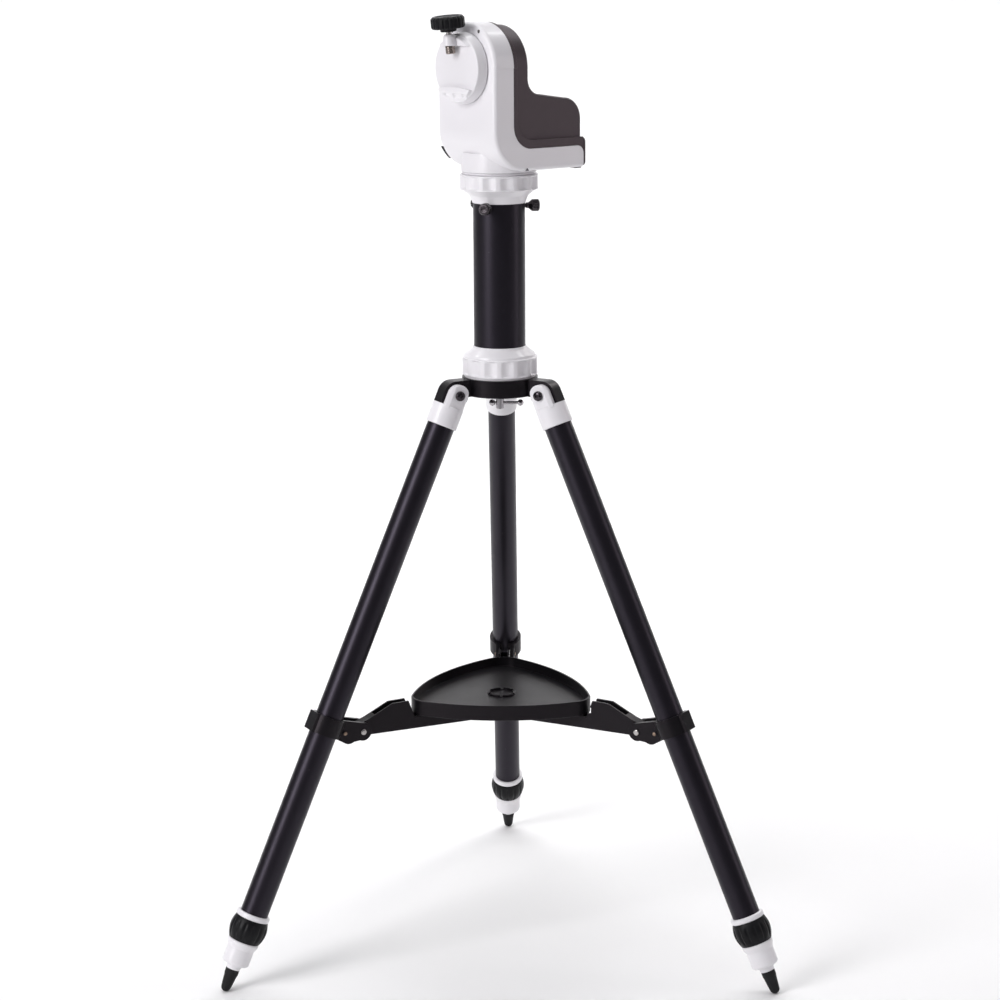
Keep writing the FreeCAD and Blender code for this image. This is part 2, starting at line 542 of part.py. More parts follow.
def dome(inset, half):
    """The inset part of the rear cover: arm back, hollow of the neck, and foot."""
    x0 = BAND_X + RIM_DEPTH - 8
    back = COVER_BACK_X - inset
    end = END_X - 0.4 - inset
    neck_r, brow_r = 17.0 + inset, 24.0 - inset
    low = RIM_TOP_Z - 6
    top = 1090.0
    neck_z = NECK_Z - inset
    brow_z = BROW_Z - inset
    neck_top = V(back, 0, neck_z + neck_r)
    neck_mid = V(back + neck_r * (1 - sqrt(0.5)), 0, neck_z + neck_r * (1 - sqrt(0.5)) + 0.4)
    neck_end = V(back + neck_r, 0, neck_z)
    brow_start = V(end - brow_r, 0, brow_z)
    brow_mid = V(end - brow_r * (1 - sqrt(0.5)), 0, brow_z - brow_r * (1 - sqrt(0.5)))
    brow_end = V(end, 0, brow_z - brow_r)
    edges = [Part.LineSegment(V(x0, 0, top), V(back, 0, top)).toShape(),
             Part.LineSegment(V(back, 0, top), neck_top).toShape(),
             arc_through(neck_top, neck_mid, neck_end),
             Part.LineSegment(neck_end, brow_start).toShape(),
             arc_through(brow_start, brow_mid, brow_end),
             Part.LineSegment(brow_end, V(end, 0, low)).toShape(),
             Part.LineSegment(V(end, 0, low), V(x0, 0, low)).toShape(),
             Part.LineSegment(V(x0, 0, low), V(x0, 0, top)).toShape()]
    solid = Part.Face(Part.Wire(edges)).extrude(V(0, 140, 0))
    solid.translate(V(0, -70, 0))
    solid = solid.common(arch_block(half, ALT_Z, half, -60, 100, 900))
    radius = 4.0 if inset == 0 else 1.5
    rounded = []
    for e in solid.Edges:
        middle = e.valueAt((e.FirstParameter + e.LastParameter) / 2)
        on_side = abs(abs(middle.y) - half) < 0.01 and e.Length > 3
        behind = e.BoundBox.XMin > back - 0.01
        arch = e.BoundBox.ZMax > ALT_Z + half - 1 and behind
        if (on_side and behind and middle.z > low + 1) or arch:
            rounded.append(e)
    return solid.makeFillet(radius, rounded)


def port_panel():
    """Socket block on the far side of the head, proud of the shell's face."""
    mid = SWITCH_AT[2]
    plate = head_block(1.5, 100, 1000, 101, 0.5, -3)
    plate = plate.common(box(-60, 10, HALF_W + 0.2, HALF_W + 3.0, *PANEL_Z))
    block = box(PANEL_X[0], PANEL_X[1], 40, HALF_W + 1, PANEL_BLOCK_Z, PANEL_Z[1] - 0.3)
    panel = joined(plate, block)
    panel = panel.cut(cyl_y(2.8, JACK_FLOOR_Y, 60, -19, mid))
    panel = panel.cut(box(-13, -2, 45.5, 60, mid - 3.2, mid + 3.0))
    panel = panel.cut(box(-9.8, -5.2, 45.5, 60, mid - 4.6, mid - 2.6))
    panel = panel.cut(cyl_y(1.3, 46, 60, -23.9, mid + 3.0))
    return panel.cut(box(-0.6, 4.2, 44, 60, mid - 4.6, mid + 4.6))


def power_switch():
    """A rocker with a hollow face on a cross pin, drawn pressed to one side."""
    mid_x, mid_y, mid_z = SWITCH_AT
    rocker = box(mid_x - 2.0, mid_x + 2.0, mid_y - 1.5, mid_y + 3.1, mid_z - 3.9, mid_z + 3.9)
    rocker = rocker.cut(cyl_x(9.0, mid_x - 3, mid_x + 3, mid_y + 10.9, mid_z))
    rocker = joined(rocker, cyl_x(0.8, mid_x - 2.3, mid_x + 2.3, mid_y, mid_z))
    rocker.rotate(V(mid_x, mid_y, mid_z), X, -SWITCH_TILT)
    return rocker


def gear_frame():
    """The cast chassis that carries both shafts, the worms and the motors."""
    frame = cyl(36, 921, 924).cut(cyl(17, 920, 925))
    frame = frame.common(box(-34, 22, -60, 60, 900, 940))
    spokes = box(-34, 22, -9, 9, 924, 927).cut(cyl(10, 900, 930))
    boss = tube(14, AZ_SHAFT_R + RUN, 924, 940)
    plate = box(-42, -39, -32, 32, 952, ALT_Z)
    plate = joined(plate, cyl_x(26, -42, -39, 0, ALT_Z))
    bearing = cyl_x(11.5, -45.5, -26, 0, ALT_Z)
    solid = joined(frame, spokes, boss, plate, bearing)
    for y in (-16.1, 13.6):
        solid = joined(solid, box(-33, -18.5, y, y + 2.5, 921, 955), box(-40, -10, y, y + 2.5, 955, 996.5))
    flange = joined(cyl_x(7, -42, -39, 24, 1000), cyl_x(7, -42, -39, -24, 1000))
    solid = joined(solid, flange)
    solid = solid.cut(cyl_x(SHAFT_R + RUN, -60, 0, 0, ALT_Z))
    solid = solid.cut(cyl(AZ_SHAFT_R + RUN, 900, 960))
    for x, z in (AZ_WORM_AXIS, ALT_WORM_AXIS):
        solid = solid.cut(cyl_y(1.5 + RUN, -20, 20, x, z))
    return max(solid.Solids, key=lambda s: s.Volume)


def worm(axis):
    """A worm between the frame's two cheeks; its thread is drawn as rings."""
    points = [(0, -16), (1.5, -16), (1.5, -13), (WORM_R - 1.2, -13)]
    pitch = 2.0
    count = 12
    for k in range(count):
        z = -12 + pitch * k
        points += [(WORM_R - 1.2, z), (WORM_R, z + 0.6), (WORM_R, z + 1.0), (WORM_R - 1.2, z + 1.6)]
    points += [(WORM_R - 1.2, 13), (1.5, 13), (1.5, 16), (0, 16)]
    body = turned(points)
    body.rotate(V(0, 0, 0), X, -90)
    body.translate(V(axis[0], 0, axis[1]))
    return body


def toothed(r, z0, z1, teeth, bore):
    wheel = cyl(r, z0, z1)
    for k in range(teeth):
        angle = 2 * pi * k / teeth
        wheel = wheel.cut(cyl(0.85, z0 - 1, z1 + 1, r * cos(angle), r * sin(angle)))
    for k in range(5):
        angle = 2 * pi * k / 5
        mid = (r + bore) / 2
        wheel = wheel.cut(cyl((r - bore) / 4.5, z0 - 1, z1 + 1, mid * cos(angle), mid * sin(angle)))
    return wheel.cut(cyl(bore, z0 - 1, z1 + 1))


def altitude_wheel():
    wheel = toothed(ALT_WHEEL_R, 0, ALT_WHEEL_X[1] - ALT_WHEEL_X[0], 60, SHAFT_R)
    wheel.rotate(V(0, 0, 0), Y, 90)
    wheel.translate(V(ALT_WHEEL_X[0], 0, ALT_Z))
    return wheel


def azimuth_wheel():
    return toothed(AZ_WHEEL_R, AZ_WHEEL_Z[0], AZ_WHEEL_Z[1], 44, AZ_SHAFT_R)


def drive_motors():
    motors = []
    for x, z in (AZ_WORM_AXIS, ALT_WORM_AXIS):
        can = cyl_y(MOTOR_R, 16.4, 36.5, x, z)
        can = can.makeFillet(1.0, [e for e in can.Edges if e.Closed])
        motors.append(joined(can, cyl_y(4.0, 36, 37.6, x, z)))
    return motors


def circuit_board():
    board = box(26, 78, -30, 30, 952, 953.6)
    chips = [box(34, 46, -8, 4, 953.6, 955), box(52, 68, -20, -12, 953.6, 960),
             box(52, 66, 8, 24, 953.6, 956.5)]
    posts = [cyl(2.0, 948.5, 952, x, y) for x in (29, 75) for y in (-27, 27)]
    return [board] + chips + posts


def cover_screws():
    """The two cross-head screws sunk in the front face beside the disc."""
    screws = []
    for y in (-COVER_SCREW_Y, COVER_SCREW_Y):
        head = cyl_x(COVER_SCREW_R, FRONT_X + 0.3, FRONT_X + 1.5, y, COVER_SCREW_Z)
        for half_y, half_z in ((1.3, 0.3), (0.3, 1.3)):
            head = head.cut(box(FRONT_X, FRONT_X + 0.9, y - half_y, y + half_y,
                                COVER_SCREW_Z - half_z, COVER_SCREW_Z + half_z))
        screws.append(joined(head, cyl_x(1.2, FRONT_X + 1.4, FRONT_X + 9, y, COVER_SCREW_Z)))
    return screws


def battery_drawer():
    """A bin behind the foot's dark end plate, with two finger tabs under its lower edge."""
    plate = box(END_X + 0.4, END_X + 3.9, -48.6, 48.6, 912.6, 944.8)
    plate = plate.makeFillet(5.0, [e for e in plate.Edges if e.BoundBox.XLength > 3])
    plate = plate.makeFillet(1.2, [e for e in plate.Edges if e.BoundBox.XMin > END_X + 3.8])
    for y in (-41, 31):
        tab = box(END_X - 5, END_X + 3.9, y, y + 10, HEAD_BOTTOM - 1.6, HEAD_BOTTOM - GAP)
        plate = joined(plate, tab, box(END_X + 0.4, END_X + 3.9, y, y + 10, HEAD_BOTTOM - 1.6, 914))
    bin_out = box(DRAWER_X, END_X + 1, -DRAWER_HALF, DRAWER_HALF, 914.8, 944.6)
    bin_in = box(DRAWER_X + 2, END_X - 4, -DRAWER_HALF + 2, DRAWER_HALF - 2, 916.2, 950)
    drawer = joined(plate, bin_out).cut(bin_in)
    return drawer


def battery_cells():
    cells = []
    x0 = DRAWER_X + 4.5
    for row in range(4):
        for layer in range(2):
            y = (row - 1.5) * (2 * CELL_R + 0.4)
            z = 916.3 + CELL_R + layer * (2 * CELL_R + 0.05)
            cells.append(joined(cyl_x(CELL_R, x0, x0 + CELL_LEN - 1.4, y, z),
                                cyl_x(2.7, x0 + CELL_LEN - 1.4, x0 + CELL_LEN, y, z)))
    return cells


# ---- head: base and saddle ----
def azimuth_base():
    base = turned([(BOLT_38_R, BASE_TOP), (40.6, BASE_TOP), (41.4, 907.3), (41.4, 908.4), (40.8, 909.2),
                   (38.9, 909.2), (38.9, 912.6), (16, 912.6), (16, 918), (AZ_SHAFT_R, 920),
                   (AZ_SHAFT_R, 956), (BOLT_38_R, 956)])
    return base.cut(cyl(BOLT_38_R, 900, 921.2)).cut(cyl(3, 900, 960))


def saddle_disc():
    back, face = DISC_X
    disc = turned([(SHAFT_R, -back), (DISC_R - 0.8, -back), (DISC_R, -back + 0.8), (DISC_R, -back + 2.6),
                   (DISC_FACE_R + 0.6, -face - 0.8), (DISC_FACE_R - 0.4, -face), (20.2, -face),
                   (20.2, -face - 0.15), (19.2, -face - 0.15), (19.2, -face), (0, -face), (0, -face - 5),
                   (SHAFT_R, -face - 5)])
    disc.rotate(V(0, 0, 0), Y, -90)
    disc.translate(V(0, 0, ALT_Z))
    disc = joined(disc, lower_jaw(), upper_jaw())
    bore = on_clamp(cyl(SHOE_R + GAP, -3, SHOE_LEN + 8.4))
    hole = on_clamp(cyl(3.0 + RUN, 0, 60))
    return disc.cut(bore).cut(hole)


def disc_segment(front, front_r):
    """The disc carried forward to `front` as a shallow cone."""
    start = DISC_X[1] + 2
    return Part.makeCone(DISC_FACE_R, front_r, start - front, V(start, 0, ALT_Z), V(-1, 0, 0))


def lower_jaw():
    """A segment of the disc carried forward: an arched lip over a slope with three finger scallops."""
    face, front = DISC_X[1], LOWER_JAW_FRONT
    top = ALT_Z - LOWER_JAW_DROP
    block = disc_segment(front, DISC_FACE_R - 1.0)
    block = block.common(box(front, face + 2, -LOWER_JAW_HALF, LOWER_JAW_HALF, 900, top + 6))
    block = block.common(cyl_x(LIP_ARCH_R, front - 1, face + 3, 0, top + 2.5 - LIP_ARCH_R))
    undercut = prism_y([(face, top - 1.0), (front + 1.4, top + 0.6), (front + 1.0, top + 9), (face, top + 9)],
                       -60, 60)
    drop = LIP_LOW_Z - 7.5
    slope = prism_y([(front - 2, LIP_LOW_Z), (front, LIP_LOW_Z), (face, drop), (face, 960), (front - 2, 960)],
                    -60, 60)
    block = block.cut(undercut).cut(slope)
    down = V(face - front, 0, drop - LIP_LOW_Z)
    down.normalize()
    out = V(down.z, 0, -down.x)
    for y in (-15, 0, 15):
        start = V(front, y, LIP_LOW_Z).add(out * (SCALLOP_R - 1.7)).add(down * 4.6)
        dent = joined(Part.makeCylinder(SCALLOP_R, 14, start, down), Part.makeSphere(SCALLOP_R, start))
        block = block.cut(dent)
    return max(block.Solids, key=lambda s: s.Volume)


def upper_jaw():
    """A turned boss for the clamp screw on a segment of the disc carried forward."""
    low = ALT_Z + UPPER_JAW_RISE
    lip = disc_segment(UPPER_JAW_FRONT, DISC_FACE_R - 2.8)
    boss = turned([(0, SHOE_LEN - 0.4), (8.5, SHOE_LEN - 0.4), (7.2, 16), (6.9, 18), (5.4, 21), (0, 21)])
    boss = on_clamp(boss)
    return joined(lip, boss).common(box(-100, DISC_X[1] + 2, -UPPER_JAW_HALF, UPPER_JAW_HALF, low, 1100))


def altitude_shaft():
    face = DISC_X[1]
    shaft = joined(cyl_x(SHAFT_R, face + 5, -2, 0, ALT_Z), cyl_x(9.5, -17.6, -14.5, 0, ALT_Z),
                   cyl_x(10.5, -48.1, -45.9, 0, ALT_Z))
    return shaft


def clamp_screw():
    return on_clamp(cyl(3.0, SHOE_LEN + 0.01, 36))


def clamp_shoe():
    shoe = cyl(SHOE_R, 0, SHOE_LEN)
    ends = [e for e in shoe.Edges if e.Closed]
    return on_clamp(shoe.makeFillet(0.6, ends))


def clamp_knob():
    skirt = 24.0
    knob = turned([(3.0, skirt), (9.0, skirt), (9.0, KNOB_BOTTOM), (KNOB_R - 1.5, KNOB_BOTTOM + 0.4),
                   (KNOB_R, KNOB_BOTTOM + 2), (KNOB_R, KNOB_TOP - 2.4), (KNOB_R - 2.2, KNOB_TOP),
                   (0, KNOB_TOP), (0, 36), (3.0, 36)])
    lobes = 14
    for k in range(lobes):
        angle = 2 * pi * k / lobes
        knob = knob.cut(cyl(2.2, KNOB_BOTTOM - 1, KNOB_TOP + 1, (KNOB_R + 1.2) * cos(angle),
                            (KNOB_R + 1.2) * sin(angle)))
    return on_clamp(knob)


def main():
    os.makedirs("parts", exist_ok=True)
    save("tripod_hub", tripod_hub())
    save("leg_pivot_bolts", *leg_pivot_bolts())
    save("lower_cap", *lower_cap())
    save("pier_tube", pier_tube())
    for k, azimuth in enumerate(SCREW_AZIMUTHS, 1):
        save("thumbscrew_%d" % k, around(thumbscrew(), azimuth))
    save("centre_bolt", centre_bolt())
    save("tommy_bar", tommy_bar())
    save("top_cap", *top_cap())
    save("head_bolt", head_bolt())
    save("azimuth_base", azimuth_base())
    save("azimuth_wheel", azimuth_wheel())

    leg_pieces = {"leg_socket": leg_socket(), "leg_tube": leg_tube(), "lock_ring": lock_ring(),
                  "twist_lock": twist_lock(), "leg_inner": leg_inner(), "foot": foot(),
                  "foot_tip": foot_tip()}
    clamp = spreader_clamp()
    arm = spreader_arm()
    for k, azimuth in enumerate(LEG_AZIMUTHS, 1):
        for name, piece in leg_pieces.items():
            save("%s_%d" % (name, k), along_leg(piece, azimuth))
        save("spreader_clamp_%d" % k, *[along_leg(piece, azimuth) for piece in clamp])
        save("spreader_arm_%d" % k, around(arm, azimuth))
    save("spreader_hub", spreader_hub())
    save("accessory_tray", accessory_tray())

    head_pieces = {"front_shell": [front_shell()], "rear_cover": [rear_cover()], "port_panel": [port_panel()],
                   "power_switch": [power_switch()], "gear_frame": [gear_frame()],
                   "drive_motors": drive_motors(), "azimuth_worm": [worm(AZ_WORM_AXIS)],
                   "altitude_worm": [worm(ALT_WORM_AXIS)], "altitude_wheel": [altitude_wheel()],
                   "circuit_board": circuit_board(), "cover_screws": cover_screws(),
                   "battery_drawer": [battery_drawer()], "battery_cells": battery_cells(),
                   "saddle_disc": [saddle_disc()], "altitude_shaft": [altitude_shaft()],
                   "clamp_screw": [clamp_screw()], "clamp_shoe": [clamp_shoe()],
                   "clamp_knob": [clamp_knob()]}
    for name, pieces in head_pieces.items():
        save(name, *[on_head(piece) for piece in pieces])


main()
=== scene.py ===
import json
import math

import bmesh
import bpy
from mathutils import Matrix, Vector

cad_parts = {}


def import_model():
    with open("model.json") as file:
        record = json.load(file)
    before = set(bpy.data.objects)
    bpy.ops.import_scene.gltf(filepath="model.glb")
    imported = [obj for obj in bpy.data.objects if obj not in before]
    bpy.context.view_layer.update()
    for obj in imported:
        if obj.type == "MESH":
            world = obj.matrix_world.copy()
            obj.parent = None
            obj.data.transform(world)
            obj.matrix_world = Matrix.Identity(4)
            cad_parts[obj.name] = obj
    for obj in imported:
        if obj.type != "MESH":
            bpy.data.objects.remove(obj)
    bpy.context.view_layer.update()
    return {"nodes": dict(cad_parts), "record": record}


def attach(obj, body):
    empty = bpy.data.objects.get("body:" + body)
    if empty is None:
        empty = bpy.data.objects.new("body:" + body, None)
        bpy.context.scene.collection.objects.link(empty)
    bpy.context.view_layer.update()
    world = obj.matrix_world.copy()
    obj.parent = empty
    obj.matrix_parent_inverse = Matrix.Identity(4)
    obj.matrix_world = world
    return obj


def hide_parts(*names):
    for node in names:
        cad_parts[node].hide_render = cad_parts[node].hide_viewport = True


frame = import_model()
NODES = frame["nodes"]

# ---- dimensions shared with the CAD part, in millimetres ----
HEAD_TURN = math.radians(42.0)
LEG_AZIMUTHS = [math.radians(a) for a in (210.0, 330.0, 90.0)]
LEG_TILT = math.radians(24.44)
PIVOT_R, PIVOT_Z = 60.7, 660.5
SCREW_AZIMUTHS, SCREW_Z = (249.3, 9.3, 129.3), 870.0
CLAMP_AT, CLAMP_LEAN = (-68.4, 0.0, 1040.5), math.radians(-6.5)
JACK_AT, LAMP_AT = (-19.0, 930.6), (-23.9, 933.6)
LOWER_RING, TOP_RING = (679.2, 699.9), (889.0, 906.3)
CLAMP_PIN, ARM_PIN = (-20.4, -403.2), (-42.3, -395.4)
CLAMP_CHEEK_Y, BOLT_HEAD_Y = 12.25, 19.3
LOCK_TOP, LOCK_LOW, LOCK_INNER = -636.4, -663.0, -657.0
FOOT_BOTTOM, TIP_R = -688.0, 5.6
NEAR_SIDE_Y, HEAD_UNDER_Z = -49.0, 911.6
DRAWER_BACK_X = 88.0

# ---- details that only the look has, in millimetres and radians ----
CAP_FLUTES, FLUTE_DEPTH, FLUTE_HALF = 14, 2.5, 0.173
FLUTED_R = 42.2
KNOB_NOTCHES, KNOB_NOTCH_DEPTH = 20, 0.8
LOCK_NOTCHES, LOCK_NOTCH_DEPTH = 14, 1.05
TIP_RIBS, TIP_RIB_DEPTH = 12, 0.35
SCREW_KNURLS, SCREW_KNURL_DEPTH = 20, 0.55
SADDLE_VOXEL = 0.00042  # in metres


# ---- node-tree helpers ----
class Mat:
    """A material whose tree is built up call by call."""

    def __init__(self, name, **sockets):
        self.m = bpy.data.materials.new(name)
        self.m.use_nodes = True
        self.t = self.m.node_tree
        self.bsdf = self.t.nodes["Principled BSDF"]
        for key, value in sockets.items():
            label = key.replace("_", " ").title().replace("Ior", "IOR")
            socket = self.bsdf.inputs[label]
            if socket.type == "RGBA":
                value = (*value, 1.0)
            socket.default_value = value
        self.coords = self.t.nodes.new("ShaderNodeTexCoord").outputs["Object"]
        self.bump_from = None

    def add(self, kind, settings=None, **inputs):
        """Adds a node; inputs go by name, or by number as i0, i1, ..."""
        n = self.t.nodes.new("ShaderNode" + kind)
        for k, v in (settings or {}).items():
            setattr(n, k, v)
        for k, v in inputs.items():
            numbered = k[0] == "i" and k[1:].isdigit()
            socket = n.inputs[int(k[1:])] if numbered else n.inputs[k]
            if isinstance(v, bpy.types.NodeSocket):
                self.t.links.new(v, socket)
            else:
                socket.default_value = v
        return n

    def scaled(self, x, y, z):
        return self.add("Mapping", Vector=self.coords, Scale=(x, y, z)).outputs["Vector"]

    def noise(self, scale, detail=3.0, rough=0.5, vector=None):
        n = self.add("TexNoise", Vector=vector or self.coords, Scale=scale, Detail=detail, Roughness=rough)
        return n.outputs["Fac"]

    def voronoi(self, scale):
        return self.add("TexVoronoi", {"feature": "F1"}, Vector=self.coords, Scale=scale).outputs["Distance"]

    def ramp(self, fac, stops):
        """A grey ramp through (position, value) stops."""
        n = self.add("ValToRGB", Fac=fac)
        els = n.color_ramp.elements
        while len(els) < len(stops):
            els.new(0.5)
        for el, (pos, col) in zip(els, stops):
            el.position = pos
            el.color = (col, col, col, 1)
        return n.outputs["Color"]

    def mix(self, fac, a, b):
        n = self.add("Mix", {"data_type": "RGBA", "blend_type": "MIX"})
        for socket, v in zip((n.inputs[0], n.inputs[6], n.inputs[7]), (fac, a, b)):
            if isinstance(v, bpy.types.NodeSocket):
                self.t.links.new(v, socket)
            elif hasattr(v, "__len__"):
                socket.default_value = (*v[:3], 1.0)
            else:
                socket.default_value = v
        return n.outputs[2]

    def math(self, op, a, b):
        return self.add("Math", {"operation": op}, i0=a, i1=b).outputs[0]

    def spread(self, fac, low, high):
        return self.add("MapRange", i0=fac, i1=0.0, i2=1.0, i3=low, i4=high).outputs[0]

    def colour(self, source):
        self.t.links.new(source, self.bsdf.inputs["Base Color"])

    def rough(self, source):
        self.t.links.new(source, self.bsdf.inputs["Roughness"])

    def bump(self, height, strength, distance):
        args = {"Height": height, "Strength": strength, "Distance": distance}
        if self.bump_from:
            args["Normal"] = self.bump_from
        self.bump_from = self.add("Bump", **args).outputs["Normal"]
        self.t.links.new(self.bump_from, self.bsdf.inputs["Normal"])

    def soft_edges(self, radius):
        """Rounds sharp edges in the shading, under any bump."""
        self.bump_from = self.add("Bevel", {"samples": 6}, Radius=radius).outputs["Normal"]
        self.t.links.new(self.bump_from, self.bsdf.inputs["Normal"])

    def edge_mask(self, radius):
        """1 on convex and concave edges, 0 on flats."""
        bevel = self.add("Bevel", {"samples": 6}, Radius=radius).outputs["Normal"]
        normal = self.add("NewGeometry").outputs["Normal"]
        same = self.add("VectorMath", {"operation": "DOT_PRODUCT"}, i0=bevel, i1=normal).outputs["Value"]
        return self.ramp(self.math("SUBTRACT", 1.0, same), [(0.02, 0.0), (0.25, 1.0)])


def shade(base, factor, lift=0.0):
    return tuple(min(1.0, c * factor + lift) for c in base)


def plastic_white(name, base, roughness, coat):
    """Glossy moulded plastic: faint tone and dust, edges slightly worn."""
    m = Mat(name, roughness=roughness, coat_weight=coat, coat_roughness=0.08, ior=1.5)
    tone = m.noise(9.0, 4.0, 0.55)
    dust = m.ramp(m.noise(420.0, 3.0, 0.7), [(0.70, 0.0), (0.80, 1.0)])
    col = m.mix(m.spread(tone, 0.0, 1.0), shade(base, 0.985), base)
    worn = m.mix(m.math("MULTIPLY", m.edge_mask(0.0005), 0.10), col, shade(base, 0.80))
    m.colour(m.mix(m.math("MULTIPLY", dust, 0.05), worn, (0.50, 0.49, 0.50)))
    m.rough(m.spread(m.noise(26.0, 5.0, 0.65), roughness - 0.07, roughness + 0.10))
    m.soft_edges(0.0006)
    m.bump(m.noise(620.0, 2.0), 0.12, 0.00005)
    return m.m


def plastic_black(name, base, roughness, grain, strength=0.35, spec=0.5):
    """Grained dark plastic or paint: uneven tone, light scuffs, edges rubbed paler."""
    m = Mat(name, roughness=roughness, specular_ior_level=spec, specular_tint=(1.0, 0.88, 0.97))
    tone = m.noise(14.0, 4.0, 0.6)
    scuff = m.ramp(m.noise(60.0, 6.0, 0.75, m.scaled(1.0, 1.0, 0.25)), [(0.60, 0.0), (0.82, 1.0)])
    col = m.mix(tone, shade(base, 0.75), shade(base, 1.30))
    col = m.mix(m.math("MULTIPLY", scuff, 0.25), col, shade(base, 2.6, 0.01))
    edge = m.math("MULTIPLY", m.edge_mask(0.0006), 0.55)
    m.colour(m.mix(edge, col, shade(base, 2.8, 0.012)))
    uneven = m.math("ADD", m.math("MULTIPLY", scuff, 0.5), m.math("MULTIPLY", tone, 0.5))
    m.rough(m.spread(uneven, roughness - 0.06, roughness + 0.16))
    m.soft_edges(0.0005)
    m.bump(m.voronoi(grain), strength, 0.00006)
    m.bump(m.noise(grain * 0.4, 3.0, 0.6), strength * 0.6, 0.00008)
    return m.m


def powder_coat(name, base, roughness):
    """Black powder coat with a violet sheen, fine specks and a little lint."""
    m = Mat(name, roughness=roughness, specular_tint=(0.88, 0.78, 1.0), specular_ior_level=0.36,
            coat_weight=0.03, coat_roughness=0.30, coat_tint=(0.86, 0.80, 1.0))
    tone = m.noise(18.0, 5.0, 0.6)
    speck = m.ramp(m.noise(900.0, 2.0, 0.6), [(0.66, 0.0), (0.78, 1.0)])
    lint = m.ramp(m.voronoi(55.0), [(0.0, 1.0), (0.035, 0.0)])
    col = m.mix(tone, shade(base, 0.7), shade(base, 1.35))
    col = m.mix(m.math("MULTIPLY", speck, 0.30), col, (0.05, 0.047, 0.06))
    m.colour(m.mix(m.math("MULTIPLY", lint, 0.35), col, (0.22, 0.21, 0.23)))
    m.rough(m.spread(m.noise(34.0, 5.0, 0.7), roughness - 0.05, roughness + 0.09))
    m.soft_edges(0.0004)
    m.bump(m.noise(1500.0, 2.0, 0.55), 0.30, 0.00006)
    m.bump(m.noise(190.0, 2.0), 0.10, 0.0001)
    return m.m


def metal(name, base, roughness, stretch=(1.0, 1.0, 30.0), grain=260.0, strength=0.12, wear=0.2):
    """Brushed, turned or cast metal; `stretch` sets the direction of the brush lines."""
    m = Mat(name, metallic=1.0, roughness=roughness)
    lines = m.noise(grain, 4.0, 0.65, m.scaled(*stretch))
    stain = m.noise(40.0, 4.0, 0.6)
    col = m.mix(lines, shade(base, 0.82), shade(base, 1.10))
    stained = m.math("MULTIPLY", m.ramp(stain, [(0.5, 0.0), (0.75, 1.0)]), wear)
    m.colour(m.mix(stained, col, shade(base, 0.55)))
    m.rough(m.spread(lines, max(0.03, roughness - 0.08), roughness + 0.12))
    m.soft_edges(0.0003)
    m.bump(lines, strength, 0.00003)
    return m.m


def rubber(name, base, roughness):
    """Matt rubber, dusty in patches, paler on its edges."""
    m = Mat(name, roughness=roughness, sheen_weight=0.04, sheen_roughness=0.4, specular_ior_level=0.18)
    dusty = m.ramp(m.noise(75.0, 6.0, 0.7), [(0.45, 0.0), (0.75, 1.0)])
    col = m.mix(m.math("MULTIPLY", dusty, 0.4), base, shade(base, 2.2, 0.004))
    m.colour(m.mix(m.math("MULTIPLY", m.edge_mask(0.0008), 0.6), col, shade(base, 4.0, 0.01)))
    m.rough(m.spread(dusty, roughness - 0.05, roughness + 0.15))
    m.soft_edges(0.0006)
    m.bump(m.noise(1300.0, 3.0, 0.6), 0.35, 0.00008)
    return m.m


# One material for each material slot of the part, and five for small trim.
MATS = {
    "white_plastic": plastic_white("white_gloss", (0.815, 0.80, 0.825), 0.33, 0.22),
    "dark_cover": plastic_black("dark_grained", (0.060, 0.047, 0.051), 0.42, 1700.0, 0.5, 0.35),
    "black_plastic": plastic_black("black_nylon", (0.0065, 0.006, 0.007), 0.36, 1300.0, 0.30, 0.18),
    "knob_rubber": rubber("knob_soft", (0.004, 0.004, 0.005), 0.44),
    "tube_paint": powder_coat("tube_powder", (0.004, 0.0035, 0.0045), 0.36),
    "hub_casting": plastic_black("hub_satin", (0.0045, 0.004, 0.005), 0.32, 900.0, 0.22, 0.22),
    "bolt_black": plastic_black("black_oxide", (0.0045, 0.0045, 0.005), 0.20, 900.0, 0.12, 0.7),
    "chrome": metal("chrome_plate", (0.50, 0.48, 0.50), 0.09, (1.0, 1.0, 1.0), 160.0, 0.03, 0.1),
    "steel": metal("steel_brushed", (0.50, 0.48, 0.47), 0.24),
    "foot_rubber": rubber("foot_rubber", (0.011, 0.011, 0.012), 0.62),
    "cast_aluminium": metal("aluminium_cast", (0.60, 0.61, 0.62), 0.42, (1.0, 1.0, 1.0), 420.0, 0.3, 0.25),
    "gear_brass": metal("brass_hobbed", (0.72, 0.50, 0.20), 0.24),
    "circuit": plastic_black("solder_mask", (0.012, 0.085, 0.03), 0.28, 500.0, 0.2),
    "cell_wrap": plastic_black("cell_wrap", (0.16, 0.17, 0.19), 0.30, 300.0, 0.1),
    "inner_tube": metal("tube_anodised", (0.50, 0.51, 0.53), 0.30, (1.0, 1.0, 12.0), 300.0, 0.1),
}
TRIM = {
    "rivet_brown": metal("rivet_brown", (0.30, 0.22, 0.17), 0.38),
    "mark_grey": plastic_black("mark_grey", (0.12, 0.12, 0.13), 0.45, 900.0, 0.2),
    "gloss_black": plastic_black("gloss_black", (0.004, 0.004, 0.005), 0.12, 700.0, 0.05, 0.6),
    "shoe_steel": metal("shoe_steel", (0.36, 0.31, 0.28), 0.24, (1.0, 1.0, 8.0), 300.0, 0.08),
    "lamp_red": plastic_black("lamp_red", (0.42, 0.02, 0.015), 0.12, 500.0, 0.05, 0.6),
}
for sub in frame["record"]["subparts"]:
    node = NODES[sub["node"]]
    node.data.materials.clear()
    node.data.materials.append(MATS[sub["material_slot"]])


# ---- places ----
def mm(*v):
    return Vector([c / 1000.0 for c in v])


